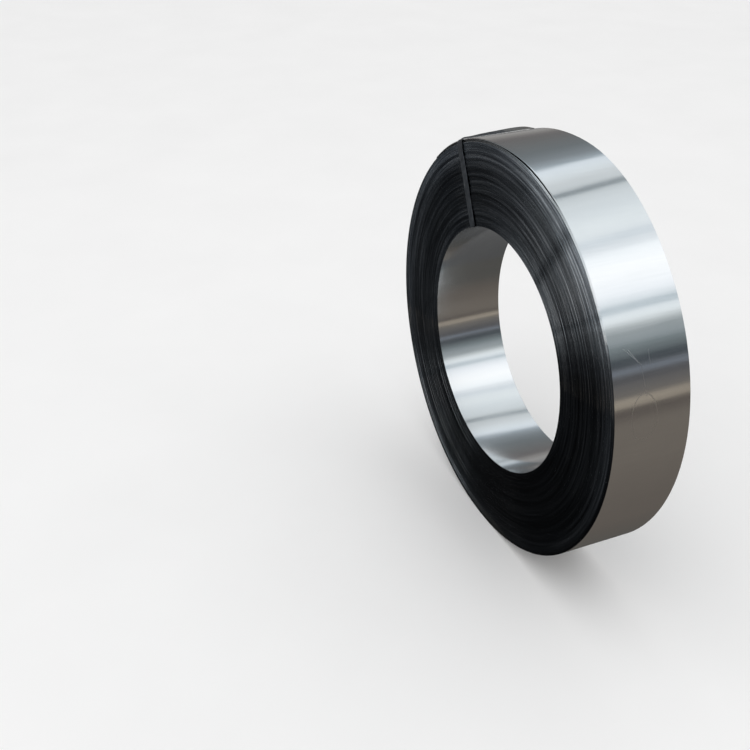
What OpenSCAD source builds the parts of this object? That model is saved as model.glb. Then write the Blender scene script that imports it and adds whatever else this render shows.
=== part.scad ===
// Narrow steel strip wound into one coil that stands on its rim, with one steel strap round its wall.
// Millimetres. The coil's axis runs along X, +Z is up, and the rim stands on Z = 0 below the axis.
// Angles round the coil start at the front (-Y) and grow upwards, over the top and down the back.

/* [Strip] */
// Width of the strip, and so of the coil
strip_w = 155; // [80:1:250]
// Thickness of the strip
strip_t = 2; // [1:0.1:4]

/* [Coil] */
// Bore, as wide as the mandrel that the strip was wound on
bore_d = 508; // [400:1:610]
// Turns of strip between the bore and the outside
turns = 85; // [40:1:120]
// How far a turn strays to either side of the middle, at most
turn_stray = 1.2; // [0.4:0.1:3]

/* [Strip ends] */
// Place of the strip's outer end
tail_at = 132; // [118:1:150]
// Place of the strip's inner end, in the bore
head_at = 222; // [150:1:300]
// Stretch over which a turn climbs onto the strip's end, in degrees
end_reach = 60; // [40:1:80]

/* [Loose stretch] */
// Place where the last turn springs away from the one under it
lift_at = 76; // [70:1:85]
// Reach of that loose stretch to either side of its middle, in degrees
lift_reach = 22; // [12:1:25]
// Height of the loose stretch
lift_h = 6; // [3:0.5:8]

/* [Strap] */
// Place of the strap
strap_at = 113.5; // [108:0.5:116]
// Width of the strap
strap_w = 19; // [13:1:32]
// Thickness of the strap
strap_t = 0.8; // [0.5:0.1:1]
// Height of the strap's slack over the outside of the coil
strap_slack = 6.5; // [2:0.5:12]
// Inside radius of the strap's corners
strap_bend = 1.2; // [0.8:0.1:1.3]
// Clearance between the strap and what it lies on
strap_clear = 0.15; // [0.1:0.05:0.2]

/* [Strap seal] */
// Length of the folded clip along the strap
seal_l = 32; // [24:1:45]
// Thickness of its sheet
seal_t = 1; // [0.6:0.1:1.5]
// Length of the strap's overlap under the clip
lap_l = 84; // [60:1:110]
// Clearance between the clip and the strap
seal_clear = 0.15; // [0.1:0.05:0.3]
// Radius of the notches that grip the strap
notch_r = 2.5; // [1.5:0.5:3]

/* [Hidden] */
$fn = 32;
bore_r = bore_d / 2;
coil_r = bore_r + turns * strip_t;
first_r = bore_r + strip_t;
last_r = coil_r - strip_t;
// how far the first and the last turn bite into the wall between them, so that all is one piece
bite = 0.02;
// the arc beside a strip end is centred this far off the axis
end_off = 0.98 * strip_t / (1 - cos(end_reach));
// the loose stretch is an arc of its own, centred off the axis
lift_off = (2 * coil_r * lift_h + lift_h * lift_h) / (2 * (lift_h + coil_r * (1 - cos(lift_reach))));
lift_r = coil_r + lift_h - lift_off;
// the strap's inside: half its run along the axis, and its two runs across it
run_half = strip_w / 2 + turn_stray + strap_clear;
run_bore = sqrt(bore_r * bore_r - strap_w * strap_w / 4) - strap_clear;
run_out = coil_r + strap_clear;
wall_mid = (bore_r + coil_r) / 2;
bow_steps = 24;

// Sideways stray of one turn
function stray(i) = turn_stray * (0.5 * sin(11 * i) + 0.35 * sin(83 * i + 20) + 0.15 * sin(151 * i));

// Rise of the strap over the outside, from the left end (0) to the right end (1)
function bow(u) = strap_slack * (0.3 + 0.7 * sin(180 * u * u));

// Stands the coil, made with its axis along Z and its front along X, on its rim
module standing() {
  translate([0, 0, coil_r])
    rotate([90, 0, -90])
      children();
}

// Section of the wall between the first and the last turn: every turn is a step with its own stray
module wall_section() {
  far_end = [for (i = [1 : turns - 2], e = [0, 1])
    [bore_r + (i + e) * strip_t, strip_w / 2 + stray(i)]];
  near_end = [for (i = [turns - 2 : -1 : 1], e = [1, 0])
    [bore_r + (i + e) * strip_t, -strip_w / 2 + stray(i)]];
  polygon(concat(far_end, near_end));
}

// Disc that the loose stretch of the last turn belongs to
module lift_disc(radius) {
  rotate(lift_at)
    translate([lift_off, 0])
      circle(r = radius, $fn = 180);
}

// Slice of the round from one angle to the next
module slice(from, reach) {
  intersection() {
    rotate(from)
      square(2 * coil_r);
    rotate(from + reach - 90)
      square(2 * coil_r);
  }
}

// Step that the strip's outer end makes, which fades out past it
module tail_step() {
  difference() {
    slice(tail_at, end_reach);
    rotate(tail_at + end_reach)
      translate([end_off, 0])
        circle(r = coil_r - 0.98 * end_off, $fn = 180);
  }
}

// Step that the strip's inner end makes in the bore, which fades in before it
module head_step() {
  intersection() {
    slice(head_at - end_reach, end_reach);
    rotate(head_at - end_reach)
      translate([-end_off, 0])
        circle(r = bore_r + 0.98 * end_off, $fn = 180);
  }
}

// First turn, with the strip's inner end, seen from the coil's left end
module first_turn() {
  difference() {
    circle(r = first_r + bite, $fn = 180);
    circle(r = bore_r, $fn = 180);
    head_step();
  }
}

// Last turn, with its loose stretch and the strip's outer end
module last_turn() {
  difference() {
    union() {
      circle(r = coil_r, $fn = 180);
      lift_disc(lift_r);
    }
    circle(r = last_r - bite, $fn = 180);
    lift_disc(lift_r - strip_t);
    tail_step();
  }
}

// One turn's outline as wide as the strip, at that turn's own stray
module turn(i) {
  translate([0, 0, stray(i)])
    linear_extrude(height = strip_w, center = true)
      children();
}

module coil() {
  color([0.74, 0.76, 0.78])
    standing() {
      turn(0)
        first_turn();
      rotate_extrude($fn = 180)
        wall_section();
      turn(turns - 1)
        last_turn();
    }
}

// Strap's own frame: X along the coil's axis to the left, Y away from the axis, Z round the coil
module at_strap() {
  standing()
    rotate(strap_at)
      rotate([0, -90, -90])
        children();
}

// Inside of the closed strap, seen along the rim
module strap_inside() {
  over = [for (i = [0 : bow_steps])
    [run_half * (2 * i / bow_steps - 1), run_out + bow(1 - i / bow_steps)]];
  offset(r = strap_bend)
    offset(delta = -strap_bend)
      polygon(concat([[run_half, run_bore], [-run_half, run_bore]], over));
}

module strap() {
  color([0.16, 0.17, 0.19])
    at_strap() {
      linear_extrude(height = strap_w, center = true)
        difference() {
          offset(r = strap_t)
            strap_inside();
          strap_inside();
        }
      translate([-run_half - 2 * strap_t, wall_mid - lap_l / 2, -strap_w / 2])
        cube([1.5 * strap_t, lap_l, strap_w]);
    }
}

// Channel folded over the lapped strap, with notches that grip its edges
module strap_seal() {
  inside_w = strap_w + 2 * seal_clear;
  inside_h = 2 * strap_t + seal_clear;
  outside_w = inside_w + 2 * seal_t;
  outside_h = inside_h + seal_t;
  color([0.3, 0.31, 0.33])
    at_strap()
      translate([-run_half, wall_mid, 0])
        difference() {
          translate([-outside_h, -seal_l / 2, -outside_w / 2])
            cube([outside_h, seal_l, outside_w]);
          translate([-inside_h, -seal_l, -inside_w / 2])
            cube([2 * inside_h, 2 * seal_l, inside_w]);
          for (side = [-1, 1], place = [-1, 1])
            translate([-2 * outside_h, place * seal_l / 4, side * (outside_w / 2 + notch_r / 3)])
              rotate([0, 90, 0])
                cylinder(r = notch_r, h = 3 * outside_h);
        }
}

coil();
strap();
strap_seal();
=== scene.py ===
import math
import bmesh
import bpy
import numpy as np
from mathutils import Matrix, Vector


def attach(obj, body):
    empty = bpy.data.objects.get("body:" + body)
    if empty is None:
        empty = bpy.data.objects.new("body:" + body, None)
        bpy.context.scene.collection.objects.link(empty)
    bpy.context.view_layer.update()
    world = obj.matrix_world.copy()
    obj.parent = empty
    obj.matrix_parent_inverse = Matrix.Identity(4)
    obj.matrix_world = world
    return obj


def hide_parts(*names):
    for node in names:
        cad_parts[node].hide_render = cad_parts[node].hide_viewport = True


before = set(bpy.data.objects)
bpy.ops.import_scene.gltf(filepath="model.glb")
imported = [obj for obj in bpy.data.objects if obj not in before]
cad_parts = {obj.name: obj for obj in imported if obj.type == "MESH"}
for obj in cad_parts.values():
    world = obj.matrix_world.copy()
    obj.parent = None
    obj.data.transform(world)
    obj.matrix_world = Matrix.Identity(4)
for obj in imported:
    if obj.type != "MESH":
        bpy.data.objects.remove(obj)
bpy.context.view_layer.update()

# The coil: one narrow strip of bright cold-rolled steel, slit to width and wound turn on turn.
# Both its ends show the slit edges of every turn. The last turn springs loose in front of the
# strap and ends just behind it; the first turn's square-cut end lies in the bore.
strip_width = 0.155
strip_pitch = 0.002
strip_thickness = 0.00190
air_gap = 0.00004
bore_radius = 0.254
coil_radius = 0.424
axis_height = coil_radius
last_face = 0.4232
climbs = 84
head_angle = 222.0
tail_angle = 132.0
climb_reach = 60.0
section_step = 3.0
turn_stray = 0.0012
loose_from_turn = 79.0
loose_turns = 5.0
loose_lift = 0.0023
slack_lift = 0.0013
loose_slide = 0.0020
stay_behind = 0.65
rubbed_from_turn = 81.0
rubbed_turns = 0.8
# places round the coil in degrees: the loosest one with its reach before and after, and then
# stretches with their start, rise, end and fall
loosest_place = (78.0, 28.0, 22.0)
behind_stretch = (63.0, 6.0, 86.0, 10.0)
slack_stretch = (10.0, 50.0, 120.0, 12.0)
slide_stretch = (38.0, 32.0, 78.0, 18.0)
rubbed_stretch = (24.0, 12.0, 200.0, 40.0)
edge_round = 0.00035
rim_round = 0.00150
wave_depth = 0.00006


def smooth(x):
    """Ease from 0 to 1."""
    x = np.clip(x, 0.0, 1.0)
    return x * x * (3.0 - 2.0 * x)


def swell(angle, middle, before, after):
    """Rise from 0 to 1 before a middle and fall back to 0 after it."""
    off = np.clip((angle - middle) / np.where(angle < middle, before, after), -1.0, 1.0)
    return 0.5 + 0.5 * np.cos(np.pi * off)


def stretch(angle, start, rise, end, fall):
    """1 along a stretch, with a soft rise from its start and a soft fall from its end."""
    return smooth((angle - start) / rise) * (1.0 - smooth((angle - end) / fall))


def wound_strip():
    """Sections of the strip along its whole length, from its inner end to its outer end.

    Each has an angle, an outer radius, a stray to the right and the rounding of its left rim.
    """
    end = 360.0 * (climbs + 1) + tail_angle
    angle = np.append(np.arange(head_angle, end - 1.0, section_step), end)
    turn = np.zeros_like(angle)
    for k in range(climbs):
        begins = head_angle - climb_reach + (tail_angle - head_angle + climb_reach) * k / (climbs - 1)
        turn += smooth((angle - 360.0 * (k + 1) - begins) / climb_reach)
    outer = bore_radius + strip_pitch * (turn + 1.0) - air_gap
    n = np.radians(turn)
    stray = turn_stray * (0.5 * np.sin(11 * n) + 0.35 * np.sin(83 * n + 0.35) + 0.15 * np.sin(151 * n))
    # the outermost turns spring up in front of the strap and slide to the right; where the last one
    # is loosest, those under it stay behind
    place = angle % 360.0
    behind = stretch(place, *behind_stretch) * (turn < climbs - 0.5)
    share = np.clip((turn - loose_from_turn) / loose_turns, 0.0, 1.0) * (1.0 - stay_behind * behind)
    lift = share * (loose_lift * swell(place, *loosest_place)
                    + slack_lift * stretch(place, *slack_stretch))
    stray += share * loose_slide * stretch(place, *slide_stretch)
    # the last turns' left corners are rubbed round, but not low down at the front
    rubbing = smooth((turn - rubbed_from_turn) / rubbed_turns) * stretch(place, *rubbed_stretch)
    rounding = edge_round + (rim_round - edge_round) * rubbing
    return angle, outer + lift, stray, rounding


def strip_mesh(name):
    """One long closed band through the sections, square at both ends."""
    angle, outer, stray, rim = wound_strip()
    c = edge_round
    t = np.radians(angle)
    radial = np.stack([np.zeros_like(t), -np.cos(t), np.sin(t)], 1)
    around = np.stack([np.zeros_like(t), np.sin(t), np.cos(t)], 1)
    side = np.array([1.0, 0.0, 0.0])
    slope = np.gradient(outer, t) / outer
    facing = radial - slope[:, None] * around
    facing /= np.linalg.norm(facing, axis=1)[:, None]
    inner = outer - strip_thickness
    left = stray - strip_width / 2
    right = stray + strip_width / 2
    # the rim's rubbed corners face half outward
    worn = ((rim - c) / (rim_round - c))[:, None]
    corner = 0.5 * worn * facing - (1.0 - 0.5 * worn) * side
    corner /= np.linalg.norm(corner, axis=1)[:, None]
    corners = [
        (left + rim, outer, facing), (right - c, outer, facing),
        (right, outer - c, side), (right, inner + c, side),
        (right - c, inner, -facing), (left + c, inner, -facing),
        (left, inner + c, -side), (left, outer - rim, corner),
    ]
    n, m = len(t), len(corners)
    points = np.zeros((n, m, 3))
    normals = np.zeros((n, m, 3))
    for j, (x, r, normal) in enumerate(corners):
        points[:, j] = radial * r[:, None]
        points[:, j, 0] = x
        points[:, j, 2] += axis_height
        normals[:, j] = normal
    first = np.arange(n - 1)[:, None] * m
    j = np.arange(m)[None, :]
    nxt = (j + 1) % m
    quads = np.stack([first + j, first + nxt, first + m + nxt, first + m + j], 2).reshape(-1, 4)
    caps = [list(range(m - 1, -1, -1)), list(range(m * n - m, m * n))]
    mesh = bpy.data.meshes.new(name)
    mesh.from_pydata(points.reshape(-1, 3).tolist(), [], quads.tolist() + caps)
    # the rolled faces are bright and the sheared edges dark, but rubbed corners are bright too
    bright, dark, bright_from = 0, 1, 0.35
    as_slit = [bright, dark, dark, dark, bright, dark, dark, dark]
    as_rubbed = [bright, bright, dark, dark, bright, dark, dark, bright]
    kinds = np.where(worn[:-1] > bright_from, as_rubbed, as_slit).reshape(-1).tolist() + [dark, dark]
    mesh.polygons.foreach_set("material_index", kinds)
    mesh.polygons.foreach_set("use_smooth", [True] * len(quads) + [False, False])
    mesh.update()
    mesh.normals_split_custom_set_from_vertices(normals.reshape(-1, 3).tolist())
    return mesh


def new_material(name, kind="ShaderNodeBsdfPrincipled"):
    """Material with one shader: the material, its node tree and the shader."""
    material = bpy.data.materials.new(name)
    material.use_nodes = True
    tree = material.node_tree
    tree.nodes.clear()
    output = tree.nodes.new("ShaderNodeOutputMaterial")
    shader = tree.nodes.new(kind)
    tree.links.new(shader.outputs[0], output.inputs["Surface"])
    return material, tree, shader


def feed(tree, socket, value):
    """A number, vector or colour goes on the socket itself, anything else is linked to it."""
    if isinstance(value, bpy.types.NodeSocket):
        tree.links.new(value, socket)
    else:
        socket.default_value = value


def maths(tree, operation, a, b=None):
    """Result of one sum on numbers."""
    node = tree.nodes.new("ShaderNodeMath")
    node.operation = operation
    feed(tree, node.inputs[0], a)
    if b is not None:
        feed(tree, node.inputs[1], b)
    return node.outputs[0]


def vectors(tree, operation, a, b):
    """Result of one sum on vectors: a number where it measures, and else a vector."""
    node = tree.nodes.new("ShaderNodeVectorMath")
    node.operation = operation
    feed(tree, node.inputs[0], a)
    feed(tree, node.inputs["Scale"] if operation == "SCALE" else node.inputs[1], b)
    return node.outputs["Value" if operation in ("DOT_PRODUCT", "DISTANCE") else "Vector"]


def join(tree, x, y, z):
    """Vector of three numbers."""
    node = tree.nodes.new("ShaderNodeCombineXYZ")
    for socket, value in zip(node.inputs, (x, y, z)):
        feed(tree, socket, value)
    return node.outputs[0]


def length(tree, a, b):
    """Length of the way that goes by a one way and by b across it."""
    squares = maths(tree, "ADD", maths(tree, "MULTIPLY", a, a), maths(tree, "MULTIPLY", b, b))
    return maths(tree, "SQRT", squares)


def place_in_part(tree):
    return tree.nodes.new("ShaderNodeTexCoord").outputs["Object"]


def split_place(tree):
    """Place in the part as its three numbers."""
    split = tree.nodes.new("ShaderNodeSeparateXYZ")
    tree.links.new(place_in_part(tree), split.inputs[0])
    return split.outputs["X"], split.outputs["Y"], split.outputs["Z"]


def round_places(tree):
    """Place on the coil: along the axis, out from it, and round it from the back over the top."""
    along_axis, backward, upward = split_place(tree)
    height = maths(tree, "SUBTRACT", upward, axis_height)
    return along_axis, length(tree, backward, height), maths(tree, "ARCTAN2", height, backward)


def noise(tree, vector, scale, detail, rough):
    """Cloudy values round 0.5."""
    node = tree.nodes.new("ShaderNodeTexNoise")
    node.inputs["Scale"].default_value = scale
    node.inputs["Detail"].default_value = detail
    node.inputs["Roughness"].default_value = rough
    tree.links.new(vector, node.inputs["Vector"])
    return node.outputs["Fac"]


def ramp(tree, value, stops):
    """Colours or grey levels along a value from 0 to 1."""
    node = tree.nodes.new("ShaderNodeValToRGB")
    band = node.color_ramp
    while len(band.elements) < len(stops):
        band.elements.new(0.5)
    for element, (place, colour) in zip(band.elements, stops):
        element.position = place
        element.color = (colour, colour, colour, 1.0) if isinstance(colour, float) else (*colour, 1.0)
    tree.links.new(value, node.inputs["Fac"])
    return node.outputs["Color"]


def scratch(tree, place, start, end, width):
    """1 on a straight scratch between two places, fading to 0 at its sides."""
    begin = Vector((*start, 0.0))
    run = Vector((*end, 0.0)) - begin
    from_begin = vectors(tree, "SUBTRACT", place, tuple(begin))
    along = vectors(tree, "DOT_PRODUCT", from_begin, tuple(run))
    along = maths(tree, "DIVIDE", along, run.length_squared)
    along = maths(tree, "MINIMUM", maths(tree, "MAXIMUM", along, 0.0), 1.0)
    aside = vectors(tree, "DISTANCE", from_begin, vectors(tree, "SCALE", tuple(run), along))
    share = maths(tree, "DIVIDE", aside, width)
    return maths(tree, "MAXIMUM", maths(tree, "SUBTRACT", 1.0, share), 0.0)


def drawn_metal(tree, shader, strength):
    """Bare metal that draws out what it reflects along the coil's axis."""
    shader.inputs["Metallic"].default_value = 1.0
    shader.inputs["Anisotropic"].default_value = strength
    shader.inputs["Anisotropic Rotation"].default_value = 0.25
    tangent = tree.nodes.new("ShaderNodeTangent")
    tangent.direction_type = "RADIAL"
    tangent.axis = "X"
    tree.links.new(tangent.outputs[0], shader.inputs["Tangent"])


def bright_strip():
    """Rolled face of the strip: bright, faintly streaked, with a few scratches on the outside."""
    material, tree, shader = new_material("bright_strip")
    along_axis, out, angle = round_places(tree)
    arc = maths(tree, "MULTIPLY", maths(tree, "SUBTRACT", math.pi, angle), coil_radius)

    def drawn_out(along, around):
        return join(tree, maths(tree, "MULTIPLY", along_axis, along),
                    maths(tree, "MULTIPLY", arc, around), out)

    streaks = noise(tree, drawn_out(9.0, 380.0), scale=1.0, detail=3.0, rough=0.6)
    clouds = noise(tree, join(tree, along_axis, arc, out), scale=14.0, detail=4.0, rough=0.55)
    mixed = maths(tree, "ADD", maths(tree, "MULTIPLY", streaks, 0.55),
                  maths(tree, "MULTIPLY", clouds, 0.45))
    feed(tree, shader.inputs["Base Color"],
         ramp(tree, mixed, [(0.3, (0.75, 0.765, 0.775)), (0.7, (0.80, 0.81, 0.82))]))
    # straight scratches: both ends, along the axis and up the front, then width and strength
    place = join(tree, along_axis, arc, 0.0)
    marks = 0.0
    for start, end, width, strength in [
            ((-0.049, 0.2100), (-0.019, 0.178), 0.0011, 1.0),
            ((-0.040, 0.2065), (-0.024, 0.183), 0.0013, 1.0),
            ((-0.019, 0.1780), (-0.012, 0.121), 0.0010, 0.45),
            ((-0.001, 0.2005), (-0.001, 0.175), 0.0011, 0.5)]:
        line = maths(tree, "MULTIPLY", scratch(tree, place, start, end, width), strength)
        marks = maths(tree, "MAXIMUM", marks, line)
    # and one long ring, with its middle and its half width and height
    ring_middle, ring_half = (-0.017, 0.084), (0.0255, 0.043)
    ring_fade, ring_strength = 24.0, 0.55
    across, upward = (
        maths(tree, "DIVIDE", maths(tree, "SUBTRACT", way, middle), half)
        for way, middle, half in zip((along_axis, arc), ring_middle, ring_half))
    aside = maths(tree, "ABSOLUTE", maths(tree, "SUBTRACT", length(tree, across, upward), 1.0))
    ring = maths(tree, "SUBTRACT", 1.0, maths(tree, "MULTIPLY", aside, ring_fade))
    ring = maths(tree, "MULTIPLY", maths(tree, "MAXIMUM", ring, 0.0), ring_strength)
    marks = maths(tree, "MULTIPLY", maths(tree, "MAXIMUM", marks, ring),
                  maths(tree, "GREATER_THAN", out, last_face))
    plain = ramp(tree, mixed, [(0.3, 0.13), (0.7, 0.18)])
    feed(tree, shader.inputs["Roughness"],
         maths(tree, "ADD", plain, maths(tree, "MULTIPLY", marks, 0.30)))
    drawn_metal(tree, shader, 0.8)
    # shallow waves from the rolling
    waves = noise(tree, drawn_out(3.0, 60.0), scale=1.0, detail=4.0, rough=0.6)
    bump = tree.nodes.new("ShaderNodeBump")
    bump.inputs["Strength"].default_value = 1.0
    bump.inputs["Distance"].default_value = wave_depth
    feed(tree, bump.inputs["Height"], waves)
    feed(tree, shader.inputs["Normal"], bump.outputs[0])
    return material


def slit_edge():
    """Sheared edges of the turns: dark, in bundles that differ from turn to turn, under painted sheen
    and painted shade.
    """
    material, tree, shader = new_material("slit_edge")
    along_axis, out, angle = round_places(tree)
    height = maths(tree, "SINE", angle)
    other_end = maths(tree, "MULTIPLY", maths(tree, "SIGN", along_axis), 40.0)
    row = maths(tree, "ADD", maths(tree, "MULTIPLY", out, 150.0), other_end)
    bundles = noise(tree, join(tree, row, maths(tree, "COSINE", angle), height),
                    scale=1.0, detail=5.0, rough=0.75)
    wound = ramp(tree, bundles, [(0.36, (0.10, 0.111, 0.125)), (0.49, (0.30, 0.325, 0.35)),
                                 (0.63, (0.86, 0.89, 0.92))])
    # painted sheen and shade across the wall: dim through the middle, lighter towards the outside,
    # with a painted highlight along the last turns
    depth = maths(tree, "DIVIDE", maths(tree, "SUBTRACT", out, bore_radius), coil_radius - bore_radius)
    painted_sheen_and_shade = ramp(tree, depth, [(0.0, 0.46), (0.22, 0.34), (0.38, 0.25), (0.52, 0.42), (0.66, 0.33),
                               (0.77, 0.62), (0.86, 1.0), (0.915, 1.0), (0.932, 1.4)])
    # painted shade: low down the left end is painted darker, its outer turns darker part way up, and
    # its last turns darkest near the bottom, where the rim lies in shadow
    level = maths(tree, "MULTIPLY", maths(tree, "ADD", height, 1.0), 0.5)
    level = maths(tree, "ADD", level, maths(tree, "GREATER_THAN", along_axis, 0.0))
    outer_from, outer_fade, rim_from = 0.392, 0.012, 0.4145
    inward = maths(tree, "DIVIDE", maths(tree, "SUBTRACT", outer_from, out), outer_fade)
    painted_shade_low = ramp(tree, level, [(0.146, 0.34), (0.289, 0.48), (0.413, 0.86), (0.5, 1.0)])
    painted_shade_outer = ramp(tree, level, [(0.57, 0.95), (0.63, 0.75), (0.765, 0.72), (0.835, 0.86),
                                    (0.894, 1.0)])
    painted_shade_outer = maths(tree, "MAXIMUM", maths(tree, "MINIMUM", inward, 1.0), painted_shade_outer)
    painted_shade_rim = ramp(tree, level, [(0.587, 0.35), (0.63, 0.8), (0.711, 0.8), (0.757, 1.0)])
    painted_shade_rim = maths(tree, "MAXIMUM", maths(tree, "LESS_THAN", out, rim_from), painted_shade_rim)
    # the painted shade darkens the painted sheen
    for dark in (painted_shade_low, painted_shade_outer, painted_shade_rim):
        painted_sheen_and_shade = maths(tree, "MULTIPLY", painted_sheen_and_shade, dark)
    # edge colour: the bundles times the painted sheen and the painted shade
    feed(tree, shader.inputs["Base Color"], vectors(tree, "MULTIPLY", wound, painted_sheen_and_shade))
    feed(tree, shader.inputs["Roughness"], ramp(tree, bundles, [(0.3, 0.055), (0.7, 0.04)]))
    drawn_metal(tree, shader, 0.9)
    return material


def show(name, mesh, *materials):
    """Object with this mesh and these materials, put into the scene."""
    piece = bpy.data.objects.new(name, mesh)
    bpy.context.scene.collection.objects.link(piece)
    for material in materials:
        mesh.materials.append(material)
    return piece


coil = show("coil_strip", strip_mesh("coil_strip"), bright_strip(), slit_edge())
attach(coil, "root")
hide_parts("coil")

# The strap: a flat band of dark blued steel, drawn round the wall through the bore by hand.
# It is folded sharply over the coil's edges. Over the outside it is slack: its front edge lies
# on the coil and its back edge stands up. Its two ends lap on the right-hand leg.
strap_angle = 113.5
strap_width = 0.019
strap_thickness = 0.0008
strap_round = 0.00022
strap_half = 0.07885
strap_bore = 0.25367
strap_outside = 0.42415
strap_bend = 0.0012
strap_fold = 0.0035
# how far the loose turn lifts the outside run, at its left and right ends
strap_seat = (0.00134, 0.00142)
# how far its back edge stands up, along the outside run from left to right
strap_slack = [
    (0.0, 0.0), (0.015, 0.0003), (0.045, 0.0029), (0.075, 0.0038), (0.117, 0.0037), (0.179, 0.0039),
    (0.241, 0.0047), (0.292, 0.0053), (0.413, 0.0061), (0.494, 0.0065), (0.585, 0.0070),
    (0.706, 0.0077), (0.818, 0.0076), (0.878, 0.0072), (0.934, 0.0063), (0.975, 0.0050), (1.0, 0.0034)]
# how many degrees its left leg leans back, from the axis outward
strap_lean = [(0.380, 1.6), (0.412, 2.3), (0.4245, 1.4)]
lap_length = 0.084
wall_middle = 0.339


def at_strap(x, out, round_by):
    """Point at the strap: along the axis, out from it, and round it from the strap's middle line."""
    leftward = (strap_half - x) / (2.0 * strap_half)
    t = math.radians(strap_angle + leftward * np.interp(out, *zip(*strap_lean)))
    return (x, -out * math.cos(t) + round_by * math.sin(t),
            axis_height + out * math.sin(t) + round_by * math.cos(t))


def strap_line():
    """Inside line of the closed band as (x, out, way it faces, share of its run)."""
    h, b, f = strap_half, strap_bend, strap_fold
    line = []

    def run(steps, start, end, facing):
        for k in range(steps + 1):
            u = k / steps
            line.append((start[0] + (end[0] - start[0]) * u, start[1] + (end[1] - start[1]) * u,
                         facing, u))

    def bend(x, out, radius, start, u):
        for k in range(1, 6):
            a = math.radians(start - 90.0 * k / 6)
            facing = (math.cos(a), math.sin(a))
            line.append((x + radius * facing[0], out + radius * facing[1], facing, u))

    run(12, (h - b, strap_bore), (b - h, strap_bore), (0.0, -1.0))
    bend(b - h, strap_bore + b, b, 270.0, 0.0)
    run(8, (-h, strap_bore + b), (-h, strap_outside - f), (-1.0, 0.0))
    bend(f - h, strap_outside - f, f, 180.0, 0.0)
    run(48, (f - h, strap_outside), (h - b, strap_outside), (0.0, 1.0))
    bend(h - b, strap_outside - b, b, 90.0, 1.0)
    run(8, (h, strap_outside - b), (h, strap_bore + b), (1.0, 0.0))
    bend(h - b, strap_bore + b, b, 0.0, 1.0)
    return line


def band_section(width, thickness):
    """Outline of the flat band across its length, with its corners taken off."""
    w, t, c = width / 2, thickness, strap_round
    return [(-w + c, 0.0), (w - c, 0.0), (w, c), (w, t - c),
            (w - c, t), (-w + c, t), (-w, t - c), (-w, c)]


def tube(first, second, count):
    """Faces between two rings of points."""
    return [(first + j, first + (j + 1) % count, second + (j + 1) % count, second + j)
            for j in range(count)]


def shaded(name, points, faces, sharp):
    """Closed mesh with its faces turned outward and its edges smooth below an angle."""
    mesh = bpy.data.meshes.new(name)
    mesh.from_pydata(points, [], faces)
    work = bmesh.new()
    work.from_mesh(mesh)
    bmesh.ops.recalc_face_normals(work, faces=work.faces)
    work.to_mesh(mesh)
    work.free()
    mesh.polygons.foreach_set("use_smooth", [True] * len(mesh.polygons))
    mesh.set_sharp_from_angle(angle=math.radians(sharp))
    return mesh


def strap_mesh(name):
    """The closed band and, on its right leg, the second layer where its ends lap."""
    section = band_section(strap_width, strap_thickness)
    m = len(section)
    line = strap_line()
    points, faces = [], []
    for x, out, (fx, fr), u in line:
        # over the outside the band leans on its front edge
        outward = max(fr, 0.0)
        rise = outward * np.interp(u, *zip(*strap_slack))
        lean = math.asin(rise / strap_width)
        out += outward * np.interp(x, (-strap_half, strap_half), strap_seat)
        for across, deep in section:
            reach = across + strap_width / 2
            points.append(at_strap(
                x + fx * deep,
                out + reach * math.sin(lean) + fr * deep * math.cos(lean),
                -strap_width / 2 + reach * math.cos(lean) - outward * deep * math.sin(lean)))
    for i in range(len(line)):
        faces += tube(m * i, m * ((i + 1) % len(line)), m)
    # the lapping end lies a hair off the band under it
    start = len(points)
    for out in (wall_middle - lap_length / 2, wall_middle + lap_length / 2):
        for across, deep in section:
            points.append(at_strap(strap_half + 1.02 * strap_thickness + 0.98 * deep, out, across))
    faces += tube(start, start + m, m)
    faces.append(tuple(range(start, start + m)))
    faces.append(tuple(range(start + 2 * m - 1, start + m - 1, -1)))
    return shaded(name, points, faces, 40.0)


def blued_steel():
    """Dark blued band, scuffed, and paler towards its right end over the outside."""
    material, tree, shader = new_material("blued_steel")
    scuffs = noise(tree, place_in_part(tree), scale=90.0, detail=6.0, rough=0.65)
    paler_from, paler_rate, paler_most, outside_from = -0.02, 6.0, 0.42, 0.4250
    along_axis, out, _ = round_places(tree)
    paler = maths(tree, "MULTIPLY", maths(tree, "SUBTRACT", along_axis, paler_from), paler_rate)
    paler = maths(tree, "MINIMUM", maths(tree, "MAXIMUM", paler, 0.0), paler_most)
    paler = maths(tree, "MULTIPLY", paler, maths(tree, "GREATER_THAN", out, outside_from))
    feed(tree, shader.inputs["Base Color"],
         ramp(tree, maths(tree, "ADD", scuffs, paler), [
             (0.35, (0.068, 0.075, 0.084)), (0.6, (0.13, 0.141, 0.155)), (0.8, (0.30, 0.29, 0.28))]))
    feed(tree, shader.inputs["Roughness"], ramp(tree, scuffs, [(0.3, 0.34), (0.7, 0.52)]))
    shader.inputs["Metallic"].default_value = 0.9
    return material


strap = show("strap_band", strap_mesh("strap_band"), blued_steel())
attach(strap, "root")
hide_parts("strap")

# The seal: a short clip of zinc-plated sheet, folded over the strap's lapped ends.
# Two pairs of notches, cut by the sealing tool, bite into the strap's edges.


def plated_clip():
    """Dull zinc with a faint spangle."""
    material, tree, shader = new_material("plated_clip")
    spangle = noise(tree, place_in_part(tree), scale=140.0, detail=4.0, rough=0.6)
    feed(tree, shader.inputs["Base Color"],
         ramp(tree, spangle, [(0.3, (0.30, 0.31, 0.32)), (0.7, (0.50, 0.51, 0.52))]))
    feed(tree, shader.inputs["Roughness"], ramp(tree, spangle, [(0.3, 0.30), (0.7, 0.48)]))
    shader.inputs["Metallic"].default_value = 1.0
    return material


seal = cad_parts["strap_seal"]
seal.data.materials.clear()
seal.data.materials.append(plated_clip())

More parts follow.
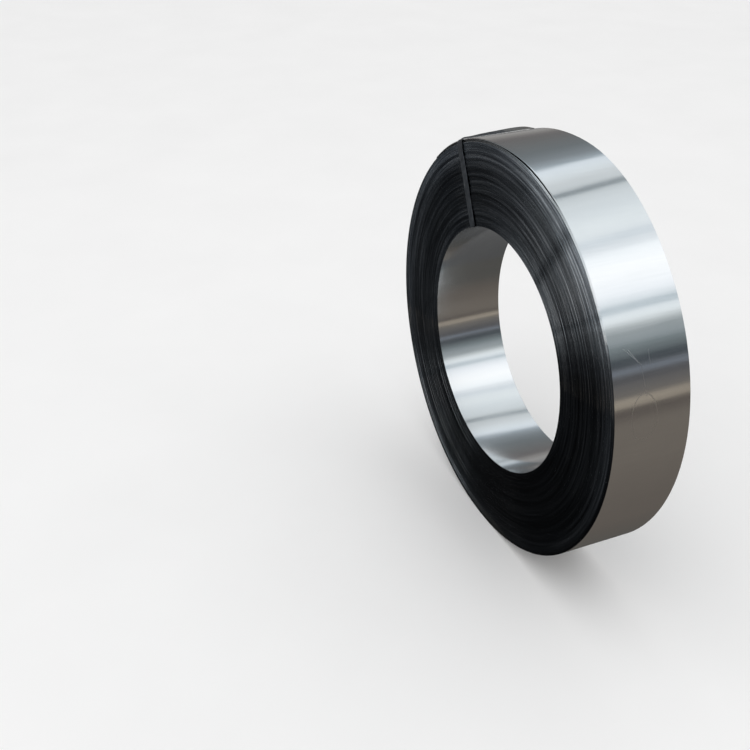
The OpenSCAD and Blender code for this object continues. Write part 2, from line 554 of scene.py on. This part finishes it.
# The floor: a wide sheet of pale matt paper, laid flat.
# The coil stands on it, on its rim, and throws a soft shadow there.
floor_half = 30.0


def flat_mesh(name, x0, x1, y0, y1, height):
    """Level sheet with four corners."""
    mesh = bpy.data.meshes.new(name)
    corners = [(x0, y0, height), (x1, y0, height), (x1, y1, height), (x0, y1, height)]
    mesh.from_pydata(corners, [], [(0, 1, 2, 3)])
    return mesh


def pale_floor():
    """Matt, near white, hardly uneven in tone."""
    material, tree, shader = new_material("pale_floor")
    tone = noise(tree, place_in_part(tree), scale=3.0, detail=3.0, rough=0.5)
    feed(tree, shader.inputs["Base Color"],
         ramp(tree, tone, [(0.3, (0.91, 0.91, 0.91)), (0.7, (0.93, 0.93, 0.93))]))
    shader.inputs["Roughness"].default_value = 0.9
    shader.inputs["Specular IOR Level"].default_value = 0.1
    return material


floor = show("floor", flat_mesh("floor", -floor_half, floor_half, -floor_half, floor_half, 0.0),
             pale_floor())

# The reflection cards: bright steel shows what stands round it, so a long tent of plain cards stands
# over the coil, pale above and dark low down on both sides, with earth-coloured sheets on the floor.
tent_radius = 3.0
tent_bottom, tent_top, tent_end = -8.1, 90.0, 188.1
line_inset = 0.02
card_step = 1.5
# stations along the axis, and how far each is set back where the tent stands askew
tent_stations = [(-7.0, -0.25), (1.2, -0.25), (2.2, 0.25), (9.0, 0.25)]
askew_from, askew_reach, askew_most = 15.0, 75.0, 1.6
# sheets on the floor: both sides, reach to the front and back, and heights
earth_sides = (-7.0, 9.0)
left_sides = (-5.0, -0.09)
earth_reach = 3.1
earth_height = 0.001
left_height = 0.002


def only_reflected(card):
    """Card that shows in the steel alone, and gives no light or shadow otherwise."""
    card.visible_camera = False
    card.visible_diffuse = False
    card.visible_shadow = False
    card.visible_transmission = False
    card.visible_volume_scatter = False


def glow(name, make_colour):
    """Material that gives off its own colour."""
    material, tree, light = new_material(name, "ShaderNodeEmission")
    feed(tree, light.inputs["Color"], make_colour(tree))
    return material


def tent_card(name, start, end, radius, make_colour):
    """Card bent round the coil's axis, a little askew.

    It goes from one angle to another, from the front of the floor over the top.
    """
    points, shares, faces = [], [], []
    count = max(2, int((end - start) / card_step))
    m = len(tent_stations)
    for k in range(count + 1):
        degrees = start + (end - start) * k / count
        skew = min(max((degrees - askew_from) / askew_reach, 0.0), askew_most)
        a = math.radians(degrees)
        for x, back in tent_stations:
            points.append((x, skew * back - radius * math.cos(a), axis_height + radius * math.sin(a)))
            shares.append(k / count)
        if k:
            faces += [(m * k - m + i, m * k - m + 1 + i, m * k + 1 + i, m * k + i)
                      for i in range(m - 1)]
    mesh = bpy.data.meshes.new(name)
    mesh.from_pydata(points, [], faces)
    mesh.attributes.new("share", "FLOAT", "POINT").data.foreach_set("value", shares)
    only_reflected(show(name, mesh, glow(name, make_colour)))


def floor_card(name, x0, x1, y0, y1, height, make_colour):
    """Card that lies on the floor."""
    only_reflected(show(name, flat_mesh(name, x0, x1, y0, y1, height), glow(name, make_colour)))


def tent_shades(start, end, shades):
    """Shades from one angle of the tent to another."""
    def make_colour(tree):
        share = tree.nodes.new("ShaderNodeAttribute")
        share.attribute_name = "share"
        return ramp(tree, share.outputs["Fac"], [((a - start) / (end - start), c) for a, c in shades])
    return make_colour


def one_shade(colour):
    """The same shade all over."""
    def make_colour(tree):
        return (*colour, 1.0)
    return make_colour


def front_to_back(y0, y1, shades):
    """Shades from a card's front to its back."""
    def make_colour(tree):
        share = maths(tree, "DIVIDE", maths(tree, "SUBTRACT", split_place(tree)[1], y0), y1 - y0)
        return ramp(tree, share, [((y - y0) / (y1 - y0), c) for y, c in shades])
    return make_colour


def like_a_fan(middle, shades):
    """Shades round a middle, from its front (-90) over its left (0) to its back (90)."""
    def make_colour(tree):
        x, y, _ = split_place(tree)
        angle = maths(tree, "ARCTAN2", maths(tree, "SUBTRACT", y, middle[1]),
                      maths(tree, "SUBTRACT", middle[0], x))
        share = maths(tree, "ADD", maths(tree, "DIVIDE", angle, 2.0 * math.pi), 0.5)
        return ramp(tree, share, [(degrees / 360.0 + 0.5, c) for degrees, c in shades])
    return make_colour


tent_card("tent_front", tent_bottom, tent_top, tent_radius, tent_shades(tent_bottom, tent_top, [
    (-8.0, (0.11, 0.095, 0.085)), (-0.5, (0.16, 0.15, 0.14)), (7.0, (0.12, 0.12, 0.125)),
    (16.0, (0.09, 0.105, 0.115)), (20.3, (0.19, 0.22, 0.23)), (22.8, (0.21, 0.25, 0.26)),
    (24.0, (0.34, 0.38, 0.40)), (29.2, (0.345, 0.385, 0.395)), (31.2, (0.53, 0.57, 0.58)),
    (34.8, (0.99, 1.05, 1.07)), (37.0, (0.96, 1.02, 1.05)), (43.5, (0.90, 0.96, 1.00)),
    (46.7, (1.10, 1.14, 1.18)), (58.5, (1.25, 1.27, 1.28)), (67.2, (1.15, 1.20, 1.23)),
    (69.2, (0.90, 0.95, 0.99)), (82.4, (0.94, 1.00, 1.02)), (90.0, (0.83, 0.89, 0.92))]))
tent_card("tent_back", tent_top, tent_end, tent_radius, tent_shades(tent_top, tent_end, [
    (90.0, (0.83, 0.89, 0.92)), (103.6, (0.70, 0.75, 0.77)), (112.0, (0.72, 0.76, 0.78)),
    (117.0, (0.84, 0.90, 0.93)), (124.0, (0.88, 0.95, 1.01)), (125.1, (0.80, 0.87, 0.93)),
    (126.5, (0.40, 0.46, 0.50)), (133.3, (0.25, 0.28, 0.30)), (142.6, (0.18, 0.20, 0.21)),
    (158.6, (0.17, 0.17, 0.17)), (166.0, (0.16, 0.15, 0.15)), (172.1, (0.27, 0.26, 0.25)),
    (178.0, (0.36, 0.35, 0.34)), (188.0, (0.22, 0.22, 0.22))]))
for name, start, end, colour in [
        ("sand_line", -6.8, -2.6, (0.39, 0.34, 0.275)),
        ("low_dark_line", 5.2, 7.4, (0.09, 0.09, 0.095)),
        ("blue_line", 9.3, 11.6, (0.22, 0.245, 0.285)),
        ("dark_line", 13.4, 15.8, (0.055, 0.065, 0.075)),
        ("grey_line", 38.4, 42.0, (0.57, 0.65, 0.70)),
        ("high_grey_line", 72.1, 75.9, (0.78, 0.85, 0.90)),
        ("beam_line", 102.4, 105.8, (0.22, 0.26, 0.28))]:
    tent_card(name, start, end, tent_radius - line_inset, one_shade(colour))
front_shades = front_to_back(-earth_reach, 0.0, [
    (-3.0, (0.10, 0.087, 0.078)), (-2.5, (0.11, 0.095, 0.085)), (-1.7, (0.175, 0.154, 0.132)),
    (-0.9, (0.168, 0.147, 0.126)), (-0.4, (0.13, 0.113, 0.098)), (-0.2, (0.09, 0.087, 0.08))])
back_shades = front_to_back(0.0, earth_reach, [
    (0.1, (0.09, 0.09, 0.09)), (1.0, (0.16, 0.16, 0.16)), (2.4, (0.26, 0.26, 0.26)),
    (3.0, (0.29, 0.29, 0.29))])
left_shades = like_a_fan((-0.443, 0.62), [
    (-60.0, (0.030, 0.032, 0.035)), (-36.0, (0.036, 0.038, 0.041)), (-26.0, (0.08, 0.083, 0.087)),
    (-1.0, (0.14, 0.144, 0.15)), (3.0, (0.15, 0.154, 0.16)), (5.5, (0.09, 0.093, 0.097)),
    (9.0, (0.09, 0.093, 0.097)), (11.5, (0.185, 0.19, 0.195)), (17.0, (0.205, 0.21, 0.215)),
    (30.0, (0.33, 0.335, 0.34)), (41.2, (0.44, 0.45, 0.46)), (42.8, (0.04, 0.042, 0.045)),
    (44.6, (0.04, 0.042, 0.045)), (46.0, (0.36, 0.37, 0.38)), (50.0, (0.28, 0.29, 0.30)),
    (53.5, (0.19, 0.20, 0.21)), (59.0, (0.11, 0.118, 0.13)), (62.5, (0.055, 0.062, 0.07)),
    (75.0, (0.05, 0.055, 0.062))])
floor_card("earth_front", *earth_sides, -earth_reach, 0.0, earth_height, front_shades)
floor_card("earth_back", *earth_sides, 0.0, earth_reach, earth_height, back_shades)
floor_card("earth_left", *left_sides, -earth_reach, earth_reach, left_height, left_shades)

# The studio light: an even pale sky all round, and one wide soft lamp over the left shoulder.
# The lamp hangs high up, gives the coil its soft shadow and doesn't show in the steel.
sky_strength = 0.92
lamp_size = 3.0
lamp_place = Vector((-1.2, -1.0, 4.0))
lamp_aim = Vector((0.0, 0.0, 0.3))
world = bpy.data.worlds.new("studio")
bpy.context.scene.world = world
world.use_nodes = True
sky = world.node_tree.nodes["Background"]
sky.inputs["Color"].default_value = (1.0, 1.0, 1.0, 1.0)
sky.inputs["Strength"].default_value = sky_strength
lamp_data = bpy.data.lights.new("soft_lamp", "AREA")
lamp_data.shape = "RECTANGLE"
lamp_data.size = lamp_size
lamp_data.size_y = lamp_size
lamp_data.energy = 18.0
lamp = bpy.data.objects.new("soft_lamp", lamp_data)
lamp.location = lamp_place
lamp.rotation_euler = (lamp_aim - lamp_place).to_track_quat("-Z", "Y").to_euler()
lamp.visible_glossy = False
bpy.context.scene.collection.objects.link(lamp)

# The camera: at chest height, in front of the coil and to its left, looking down on it.
# It stands level, and its place and lens give the view that the coil was measured in.
eye = Vector((-0.9994, -1.5621, 1.4929))
forward = Vector((0.33129, 0.78014, -0.53068)).normalized()
right = Vector((0.92045, -0.39087, 0.0)).normalized()
up = right.cross(forward)
camera_data = bpy.data.cameras.new("camera")
camera_data.lens = 49.45
camera_data.sensor_width = 36.0
camera = bpy.data.objects.new("camera", camera_data)
camera.matrix_world = Matrix((
    (right.x, up.x, -forward.x, eye.x),
    (right.y, up.y, -forward.y, eye.y),
    (right.z, up.z, -forward.z, eye.z),
    (0.0, 0.0, 0.0, 1.0)))
bpy.context.scene.collection.objects.link(camera)
bpy.context.scene.camera = camera
bpy.context.scene.view_settings.view_transform = "Standard"
